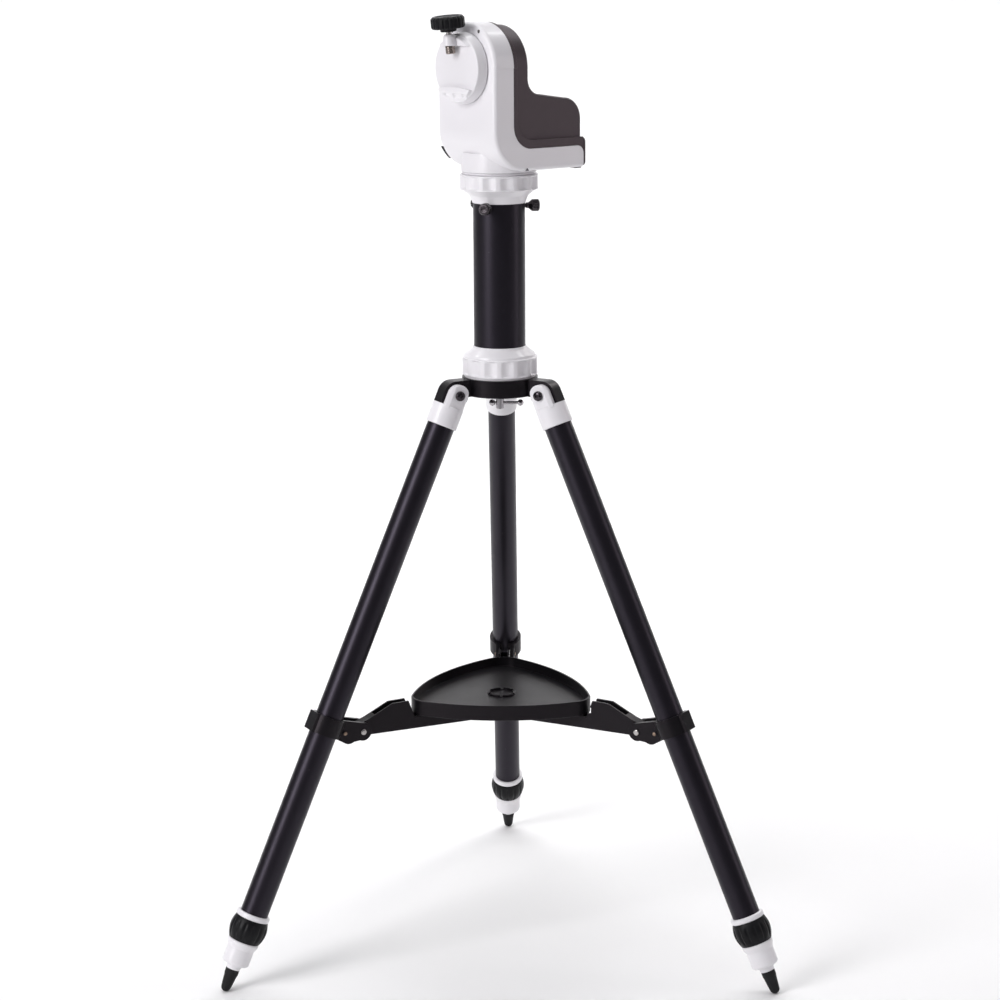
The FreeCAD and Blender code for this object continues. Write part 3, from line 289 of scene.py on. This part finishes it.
def pivot_place(k):
    """At leg k's hinge, X outward and Z up."""
    return Matrix.Rotation(LEG_AZIMUTHS[k], 4, "Z") @ Matrix.Translation(mm(PIVOT_R, 0, PIVOT_Z))


def leg_place(k):
    """At leg k's hinge with Z along the leg; its foot is at -Z."""
    return pivot_place(k) @ Matrix.Rotation(-LEG_TILT, 4, "Y")


HEAD = Matrix.Rotation(HEAD_TURN, 4, "Z")
CLAMP = HEAD @ Matrix.Translation(mm(*CLAMP_AT)) @ Matrix.Rotation(CLAMP_LEAN, 4, "Y")
SIDES = (("a", -math.pi / 2), ("b", math.pi / 2))  # turns that point Z at a leg's +Y and -Y sides


# ---- mesh helpers: every measure below is in millimetres, turned to metres when the mesh is placed ----
def fillet(points, steps=4):
    """(r, z) or (r, z, radius) corners -> a path with those corners rounded."""
    path = []
    count = len(points)
    for i, p in enumerate(points):
        here = Vector(p[:2])
        if len(p) < 3 or i in (0, count - 1):
            path.append(here)
            continue
        radius = p[2]
        a = Vector(points[i - 1][:2]) - here
        b = Vector(points[i + 1][:2]) - here
        angle = a.angle(b)
        reach = min(radius / math.tan(angle / 2), a.length * 0.48, b.length * 0.48)
        start, end = here + a.normalized() * reach, here + b.normalized() * reach
        for j in range(steps + 1):
            t = j / steps
            path.append(start * (1 - t) ** 2 + here * 2 * t * (1 - t) + end * t ** 2)
    return path


def link(name, mesh, material, body, place=None, replaces=()):
    """Turns a mesh in millimetres into a placed piece that rides on `body`."""
    obj = bpy.data.objects.new(name, mesh)
    bpy.context.collection.objects.link(obj)
    mesh.transform(Matrix.Scale(0.001, 4))
    if place is not None:
        mesh.transform(place)
    mesh.materials.append(MATS.get(material) or TRIM[material])
    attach(obj, body)
    if replaces:
        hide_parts(*replaces)
    return obj


def smooth(mesh, angle=35.0):
    for p in mesh.polygons:
        p.use_smooth = True
    mesh.set_sharp_from_angle(angle=math.radians(angle))


def lathe(name, path, segments, shape=None, closed=False, sharp=35.0):
    """Turns an (r, z) path about Z; `shape(r, z, angle)` may give a new radius."""
    bm = bmesh.new()
    rows = []
    for r, z in path:
        if r < 1e-6:
            rows.append([bm.verts.new((0, 0, z))])
            continue
        row = []
        for k in range(segments):
            a = 2 * math.pi * k / segments
            rr = shape(r, z, a) if shape else r
            row.append(bm.verts.new((rr * math.cos(a), rr * math.sin(a), z)))
        rows.append(row)
    pairs = list(zip(rows, rows[1:]))
    if closed:
        pairs.append((rows[-1], rows[0]))
    for low, high in pairs:
        for k in range(segments):
            n = (k + 1) % segments
            corners = []
            for v in (low[k % len(low)], low[n % len(low)], high[n % len(high)], high[k % len(high)]):
                if v not in corners:
                    corners.append(v)
            if len(corners) > 2:
                bm.faces.new(corners)
    bmesh.ops.recalc_face_normals(bm, faces=bm.faces)
    mesh = bpy.data.meshes.new(name)
    bm.to_mesh(mesh)
    bm.free()
    smooth(mesh, sharp)
    return mesh


def dip(angle, count, width, phase=0.0):
    """1 in the middle of each of `count` grooves, falling smoothly to 0 at +-width radians."""
    pitch = 2 * math.pi / count
    off = abs((angle - phase + pitch / 2) % pitch - pitch / 2)
    return 0.0 if off >= width else 0.5 * (1 + math.cos(math.pi * off / width))


def window(z, low, high, ramp):
    """1 between low and high, with smooth ends."""
    t = min((z - low) / ramp, (high - z) / ramp, 1.0)
    return 0.0 if t <= 0 else t * t * (3 - 2 * t)


def blocks(name, boxes, bevel=0.3):
    """Several small rounded boxes ((x0, x1), (y0, y1), (z0, z1)) in one mesh."""
    bm = bmesh.new()
    for spans in boxes:
        made = bmesh.ops.create_cube(bm, size=1.0)["verts"]
        for v in made:
            for axis in range(3):
                low, high = spans[axis]
                v.co[axis] = low if v.co[axis] < 0 else high
    bmesh.ops.bevel(bm, geom=list(bm.edges), offset=bevel, segments=3, affect="EDGES", profile=0.5)
    mesh = bpy.data.meshes.new(name)
    bm.to_mesh(mesh)
    bm.free()
    smooth(mesh, 50.0)
    return mesh


# ---- turned pieces with real flutes, ribs and rounded edges ----
def fluted_cap(name, corners, ring, lip, body, node):
    """A cap whose ring has wide hollow flutes between narrow ridges."""
    low, high = ring
    corner_path = fillet(corners)
    path = []
    for a, b in zip(corner_path, corner_path[1:] + corner_path[:1]):
        path.append(a)
        if a[0] > 42 and b[0] > 42:
            path += [a.lerp(b, t / 10) for t in range(1, 10)]

    def shape(r, z, angle):
        if r < FLUTED_R:
            return r
        hollow = dip(angle, CAP_FLUTES, FLUTE_HALF) ** 0.55
        return r - FLUTE_DEPTH * hollow * window(z, low + lip, high - lip, 0.8)

    mesh = lathe(name, path, 288, shape, closed=True)
    link(name, mesh, "white_plastic", body, replaces=[node])


def caps():
    """Both caps of the pier tube, as closed (r, z) outlines: bore, ring, cone and spigot."""
    ring, cap_r = LOWER_RING, 43.2
    fluted_cap("lower_cap_body",
               [(4.82, 677), (40.6, 676.5, 0.5), (40.6, ring[0]), (42.6, ring[0], 0.6), (cap_r, 680.0, 0.5),
                (cap_r, 699.1, 0.5), (42.4, ring[1], 0.5), (41.0, 700.2), (40.3, 702.6, 1.5),
                (34.5, 707.0, 3.0), (31.4, 709.6, 1.0), (30.0, 711.8), (27.1, 711.8), (27.1, 740, 0.8),
                (23.5, 740, 0.5), (23.5, 712.0), (20.0, 704.0), (4.82, 704.0)],
               ring, 1.6, "root", "lower_cap")
    ring, cap_r = TOP_RING, 44.4
    fluted_cap("top_cap_body",
               [(4.78, 876), (23.5, 876), (23.5, 829, 0.5), (27.1, 829, 0.8), (27.1, 874), (30.0, 874),
                (31.2, 877.6, 2.0), (33.4, 882.6, 3.0), (40.8, 888.4, 0.6), (43.6, ring[0], 0.6),
                (cap_r, 889.8, 0.5), (cap_r, 905.5, 0.5), (43.6, ring[1], 0.5), (41.0, 906.35),
                (4.78, 906.45)],
               ring, 1.2, "adapter", "top_cap")


def knob():
    """The clamp knob: hub, notched rim and dished top."""
    rim = fillet([(3.0, 24.05), (9.0, 24.05, 0.5), (9.0, 27.3, 0.8), (17.4, 27.6, 1.2), (18.7, 29.4, 1.0),
                  (18.7, 33.0), (18.7, 35.5), (18.7, 38.2, 1.4), (16.4, 40.7, 1.0), (13.6, 40.5, 0.8),
                  (12.6, 39.7, 0.8), (5.0, 39.7, 0.5), (4.4, 40.3, 0.4), (0.0, 40.35)])

    def shape(r, z, angle):
        if r < 15.0:
            return r
        return r - KNOB_NOTCH_DEPTH * dip(angle, KNOB_NOTCHES, 0.085) * window(z, 27.0, 41.3, 1.6)

    path = fillet([(0.0, 36.0), (3.0, 36.0), (3.0, 24.05)]) + rim[1:]
    mesh = lathe("knob_grip", path, 320, shape)
    link("knob_grip", mesh, "knob_rubber", "clamp_knob", CLAMP, replaces=["clamp_knob"])


def twist_locks():
    """The barrel-shaped twist locks of the legs, notched for the hand."""
    outer = []
    for k in range(25):
        t = k / 24
        bulge = 18.75 * (1 - t) ** 2 + 2 * t * (1 - t) * 24.55 + 17.7 * t * t
        outer.append((bulge, LOCK_TOP + (LOCK_LOW - LOCK_TOP) * t))
    corners = [(16.5, LOCK_INNER), (16.5, LOCK_TOP), *outer, (14.2, LOCK_LOW), (14.2, LOCK_INNER)]
    path = [Vector(p) for p in corners]

    def shape(r, z, angle):
        if r < 17.5:
            return r
        span = (LOCK_LOW + 1.2, LOCK_TOP - 2.6)
        return r - LOCK_NOTCH_DEPTH * dip(angle, LOCK_NOTCHES, 0.13) * window(z, *span, 5.0)

    for k in range(3):
        name, node = "twist_lock_grip_%d" % (k + 1), "twist_lock_%d" % (k + 1)
        mesh = lathe(name, path, 196, shape, closed=True)
        link(name, mesh, "knob_rubber", node, leg_place(k), replaces=[node])


def tips():
    """Rubber tips with a moulded cuff and a ribbed nose."""
    end = -(PIVOT_Z - TIP_R) / math.cos(LEG_TILT)
    nose = []
    for degrees in range(10, 90, 8):
        a = math.radians(degrees)
        nose.append((TIP_R * math.cos(a), end - TIP_R * math.sin(a)))
    corners = [(0.0, FOOT_BOTTOM), (4.9, FOOT_BOTTOM), (4.9, -697.5), (7.4, -697.55), (7.9, -698.2),
               (7.9, -703.6), (7.5, -704.6), (7.45, -705.4), (7.3, -706.0), (6.9, -710.0), (6.35, -714.6),
               (5.75, end + 0.4), *nose, (0.0, end - TIP_R)]
    path = [Vector(p) for p in corners]

    def shape(r, z, angle):
        if r <= 5:
            return r
        return r - TIP_RIB_DEPTH * dip(angle, TIP_RIBS, 0.2) * window(z, end - 2.0, -705.5, 3.0)

    for k in range(3):
        name = "rubber_tip_%d" % (k + 1)
        mesh = lathe(name, path, 72, shape)
        node = "foot_tip_%d" % (k + 1)
        link(name, mesh, "foot_rubber", "lower_leg_%d" % (k + 1), leg_place(k), replaces=[node])


def thumbscrews():
    """Knurled thumbscrews round the pier; Z of the outline points outward."""
    path = fillet([(0.0, 27.5), (2.45, 27.5), (2.45, 30.5), (3.2, 31.0, 0.3), (3.4, 33.5, 0.6),
                   (6.3, 36.9, 0.5), (6.75, 37.6, 0.3), (6.75, 44.5, 0.5), (5.3, 45.8, 0.4),
                   (2.6, 45.8, 0.2), (2.2, 45.3, 0.2), (0.0, 45.3)])
    rows = []
    for a, b in zip(path, path[1:]):
        rows.append(a)
        if a[0] > 6.6 and b[0] > 6.6 and abs(a[1] - b[1]) > 1:
            rows += [a.lerp(b, t / 6) for t in range(1, 6)]
    rows.append(path[-1])

    def shape(r, z, angle):
        if r <= 5.6:
            return r
        return r - SCREW_KNURL_DEPTH * dip(angle, SCREW_KNURLS, 0.14) * window(z, 37.2, 45.2, 0.8)

    for k, azimuth in enumerate(SCREW_AZIMUTHS, 1):
        place = Matrix.Rotation(math.radians(azimuth), 4, "Z") @ Matrix.Translation(mm(0, 0, SCREW_Z))
        place = place @ Matrix.Rotation(math.pi / 2, 4, "Y")
        name, node = "thumbscrew_grip_%d" % k, "thumbscrew_%d" % k
        mesh = lathe(name, rows, 120, shape)
        link(name, mesh, "bolt_black", node, place, replaces=[node])


def turned_at(name, path, material, body, place, segments):
    mesh = lathe(name, [Vector(p) for p in path], segments)
    link(name, mesh, material, body, place)


def dome(radius, base, height):
    """Outline of a shallow button: flat underside at `base`, rounded top."""
    steps = 5
    path = [(0.0, base), (radius, base), (radius, base + height * 0.35)]
    for k in range(1, steps):
        a = math.radians(90 * k / steps)
        path.append((radius * math.cos(a), base + height * (0.35 + 0.65 * math.sin(a))))
    return path + [(0.0, base + height)]


def ports():
    """Jack ring and pin, socket contacts and the lamp of the socket panel on the far side."""
    def at(x, z):
        """Local Z points out of the panel."""
        return HEAD @ Matrix.Translation(mm(x, 0, z)) @ Matrix.Rotation(-math.pi / 2, 4, "X")

    ring = fillet([(2.72, 47.0), (2.72, 52.3, 0.2), (3.7, 52.3, 0.3), (3.7, 51.9)])
    turned_at("jack_ring", ring, "steel", "head", at(*JACK_AT), 48)
    pin = [(0.0, 43.0), (0.95, 43.0), (0.95, 48.4), (0.6, 49.0), (0.0, 49.0)]
    turned_at("jack_pin", pin, "gear_brass", "head", at(*JACK_AT), 20)
    turned_at("lamp_lens", dome(1.25, 47.0, 5.0), "lamp_red", "head", at(*LAMP_AT), 24)
    contacts = []
    for k in range(8):
        x = 1.16 * k
        contacts.append(((-11.6 + x, -11.0 + x), (45.4, 50.8), (932.4, 932.85)))
    link("port_contacts", blocks("port_contacts", contacts, 0.08), "gear_brass", "head", HEAD)
    tongue = [((-12.2, -2.8), (45.4, 51.0), (932.85, 933.55))]
    link("port_tongue", blocks("port_tongue", tongue, 0.1), "black_plastic", "head", HEAD)


def index_pointer():
    """The small triangle on the near lower edge of the head."""
    bm = bmesh.new()
    outer_y, inner_y = NEAR_SIDE_Y - 0.28, NEAR_SIDE_Y + 0.1
    front = [bm.verts.new((x, outer_y, z)) for x, z in ((-3.4, 912.2), (2.0, 912.2), (-0.7, 915.2))]
    back = [bm.verts.new((v.co.x, inner_y, v.co.z)) for v in front]
    bm.faces.new(front)
    bm.faces.new(back[::-1])
    for k in range(3):
        n = (k + 1) % 3
        bm.faces.new((front[k], back[k], back[n], front[n]))
    bmesh.ops.recalc_face_normals(bm, faces=bm.faces)
    mesh = bpy.data.meshes.new("index_pointer")
    bm.to_mesh(mesh)
    bm.free()
    link("index_pointer", mesh, "mark_grey", "head", HEAD)


def head_trim():
    """Screws under the foot, and the ribs on the drawer's end plate and its two tabs."""
    down = Matrix.Rotation(math.pi, 4, "X")
    for k, (x, y) in enumerate(((60, 34), (60, -34), (14, 43), (14, -43)), 1):
        place = HEAD @ Matrix.Translation(mm(x, y, HEAD_UNDER_Z)) @ down
        turned_at("base_screw_%d" % k, dome(2.6, -0.2, 0.9), "steel", "head", place, 28)
    ribs, tabs = [], []
    for k in range(5):
        z = 3.2 * k
        ribs.append(((DRAWER_BACK_X - 0.3, DRAWER_BACK_X + 0.35), (-15.0, 15.0), (922.0 + z, 923.3 + z)))
    link("drawer_ribs", blocks("drawer_ribs", ribs, 0.28), "dark_cover", "battery_drawer", HEAD)
    for first in (-39.5, 32.5):
        for k in range(3):
            y = first + 2.4 * k
            tabs.append(((84.0, DRAWER_BACK_X + 0.3), (y, y + 1.0), (909.7, 911.0)))
    link("drawer_tab_ribs", blocks("drawer_tab_ribs", tabs, 0.2), "dark_cover", "battery_drawer", HEAD)


def rivets():
    """Peened heads on the two pins of each spreader clamp."""
    kinds = (("arm_rivet", ARM_PIN, 3.3, "steel"), ("clamp_rivet", CLAMP_PIN, 2.2, "rivet_brown"))
    for k in range(3):
        for side, turn in SIDES:
            for kind, (x, z), r, material in kinds:
                place = leg_place(k) @ Matrix.Translation(mm(x, 0, z)) @ Matrix.Rotation(turn, 4, "X")
                name = "%s_%d%s" % (kind, k + 1, side)
                body = "leg_%d" % (k + 1)
                turned_at(name, dome(r, CLAMP_CHEEK_Y, 0.95), material, body, place, 28)


def bolt_heads():
    """Polished domes with a small socket on the leg hinge bolts."""
    low = BOLT_HEAD_Y
    path = fillet([(0.0, low), (5.3, low), (5.1, 20.0, 0.3), (3.4, 20.9, 1.5), (1.75, 21.1, 0.2),
                   (1.6, 19.6), (0.0, 19.6)])
    for k in range(3):
        for side, turn in SIDES:
            place = pivot_place(k) @ Matrix.Rotation(turn, 4, "X")
            name = "bolt_dome_%d%s" % (k + 1, side)
            turned_at(name, path, "gloss_black", "root", place, 36)


def saddle():
    """The saddle disc with moulded edges: a copy of its mesh, voxelled, relaxed and thinned."""
    source = NODES["saddle_disc"]
    mesh = source.data.copy()
    mesh.transform(source.matrix_world)
    mesh.materials.clear()
    mesh.transform(Matrix.Scale(1000.0, 4))
    obj = link("saddle_soft", mesh, "white_plastic", "saddle", replaces=["saddle_disc"])
    voxels = obj.modifiers.new("voxels", "REMESH")
    voxels.mode, voxels.voxel_size = "VOXEL", SADDLE_VOXEL
    relax = obj.modifiers.new("relax", "SMOOTH")
    relax.factor, relax.iterations = 0.5, 4
    thin = obj.modifiers.new("thin", "DECIMATE")
    thin.ratio = 0.30
    view = bpy.context.evaluated_depsgraph_get()
    done = bpy.data.meshes.new_from_object(obj.evaluated_get(view))
    obj.modifiers.clear()
    obj.data = done
    smooth(done, 50.0)


def shoe():
    """The clamp shoe with its chamfers and three turned grooves."""
    corners = [(0.0, 0.0), (4.7, 0.0, 0.2), (5.35, 0.7, 0.2)]
    for k in range(3):
        z = 2.0 + 1.7 * k
        corners += [(5.35, z), (5.1, z + 0.25), (5.1, z + 0.55), (5.35, z + 0.8)]
    corners += [(5.35, 8.2, 0.2), (4.8, 8.79), (0.0, 8.79)]
    mesh = lathe("shoe_turned", fillet(corners, 3), 48)
    link("shoe_turned", mesh, "shoe_steel", "clamp_shoe", CLAMP, replaces=["clamp_shoe"])


def arm_webs():
    """Cross webs inside the spreader arms: low ones near the hub, tall ones past the step."""
    low, tall = (280.6, 286.6), (281.0, 298.0)
    heights = [(r, low) for r in (52, 70, 88, 106)] + [(r, tall) for r in (134, 150)]
    spans = [((r, r + 1.4), (-4.4, 4.4), height) for r, height in heights]
    for k in range(3):
        name, body = "arm_webs_%d" % (k + 1), "spreader_arm_%d" % (k + 1)
        place = Matrix.Rotation(LEG_AZIMUTHS[k], 4, "Z")
        link(name, blocks(name, spans, 0.25), "black_plastic", body, place)


def tray_ribs():
    """Three ribs under the tray for each leg."""
    rib = [((30.0, 80.0), (-0.8, 0.8), (291.9, 295.7))]
    for k in range(3):
        for letter, off in zip("abc", (-60.0, -30.0, 30.0)):
            turn = Matrix.Rotation(LEG_AZIMUTHS[k] + math.radians(off), 4, "Z")
            name = "tray_rib_%d%s" % (k + 1, letter)
            link(name, blocks(name, rib, 0.25), "black_plastic", "accessory_tray", turn)


caps()
knob()
twist_locks()
tips()
thumbscrews()
ports()
index_pointer()
head_trim()
rivets()
arm_webs()
tray_ribs()
bolt_heads()
shoe()
saddle()


# ---- stage, light and camera ----
def stage_mesh():
    """A floor that sweeps up into a backdrop."""
    mesh = bpy.data.meshes.new("sweep")
    bend_y, bend_r, half_width = 2.6, 1.2, 6.0
    profile = [(-4.0, 0.0), (bend_y, 0.0)]
    for k in range(1, 13):
        a = math.radians(90 * k / 12)
        profile.append((bend_y + bend_r * math.sin(a), bend_r * (1 - math.cos(a))))
    profile.append((bend_y + bend_r, 5.0))
    verts = [(x, y, z) for y, z in profile for x in (-half_width, half_width)]
    faces = [(2 * k, 2 * k + 1, 2 * k + 3, 2 * k + 2) for k in range(len(profile) - 1)]
    mesh.from_pydata(verts, [], faces)
    for p in mesh.polygons:
        p.use_smooth = True
    obj = bpy.data.objects.new("sweep", mesh)
    bpy.context.collection.objects.link(obj)
    m = Mat("sweep_paper", roughness=0.9)
    m.colour(m.mix(m.noise(3.0, 3.0), (0.90, 0.90, 0.90), (0.93, 0.93, 0.93)))
    mesh.materials.append(m.m)


def area_light(name, at, aim, size, power, colour=(1, 1, 1)):
    data = bpy.data.lights.new(name, "AREA")
    data.shape = "RECTANGLE"
    data.size, data.size_y = size
    data.energy = power
    data.color = colour
    obj = bpy.data.objects.new(name, data)
    bpy.context.collection.objects.link(obj)
    obj.location = at
    obj.rotation_euler = (Vector(aim) - Vector(at)).to_track_quat("-Z", "Y").to_euler()


CAMERA_AT = (0.0622, -2.7401, 1.1443)
CAMERA_BACK, CAMERA_UP = (0.02240, -0.97558, 0.21851), (0.00047, 0.21857, 0.97582)
LENS, SENSOR = 87.46, 36.0


def camera():
    data = bpy.data.cameras.new("camera")
    data.lens, data.sensor_width = LENS, SENSOR
    data.clip_start, data.clip_end = 0.05, 50.0
    obj = bpy.data.objects.new("camera", data)
    bpy.context.collection.objects.link(obj)
    back, up = Vector(CAMERA_BACK), Vector(CAMERA_UP)
    right = up.cross(back).normalized()
    up = back.cross(right).normalized()
    turn = Matrix((right, up, back.normalized())).transposed().to_4x4()
    obj.matrix_world = Matrix.Translation(CAMERA_AT) @ turn
    bpy.context.scene.camera = obj


def world():
    """A studio sky, dim at the horizon and pale overhead."""
    w = bpy.data.worlds.new("studio")
    bpy.context.scene.world = w
    w.use_nodes = True
    tree = w.node_tree
    ray = tree.nodes.new("ShaderNodeTexCoord").outputs["Generated"]
    height = tree.nodes.new("ShaderNodeSeparateXYZ")
    tree.links.new(ray, height.inputs[0])
    fade = tree.nodes.new("ShaderNodeValToRGB")
    tree.links.new(height.outputs["Z"], fade.inputs["Fac"])
    low, high = fade.color_ramp.elements
    low.position, low.color = 0.0, (0.16, 0.155, 0.175, 1)
    high.position, high.color = 0.75, (0.95, 0.96, 1.0, 1)
    background = tree.nodes["Background"]
    tree.links.new(fade.outputs["Color"], background.inputs["Color"])
    background.inputs["Strength"].default_value = 0.36


stage_mesh()
world()
area_light("key", (-2.3, -1.9, 1.75), (0, 0, 0.75), (1.2, 2.3), 66, (1.0, 0.985, 1.0))
area_light("fill", (2.9, -0.35, 1.25), (0, 0, 0.7), (0.8, 1.8), 11, (1.0, 0.90, 0.92))
area_light("top", (-0.2, -0.3, 3.0), (0, 0, 0.6), (1.2, 1.2), 12)
area_light("backdrop", (0.0, 1.4, 3.2), (0.0, 3.4, 0.6), (3.6, 0.8), 90)
area_light("rim", (1.5, 2.0, 1.7), (0, 0, 0.8), (0.5, 1.8), 10, (1.0, 0.96, 0.94))
camera()
bpy.context.scene.view_settings.view_transform = "Standard"
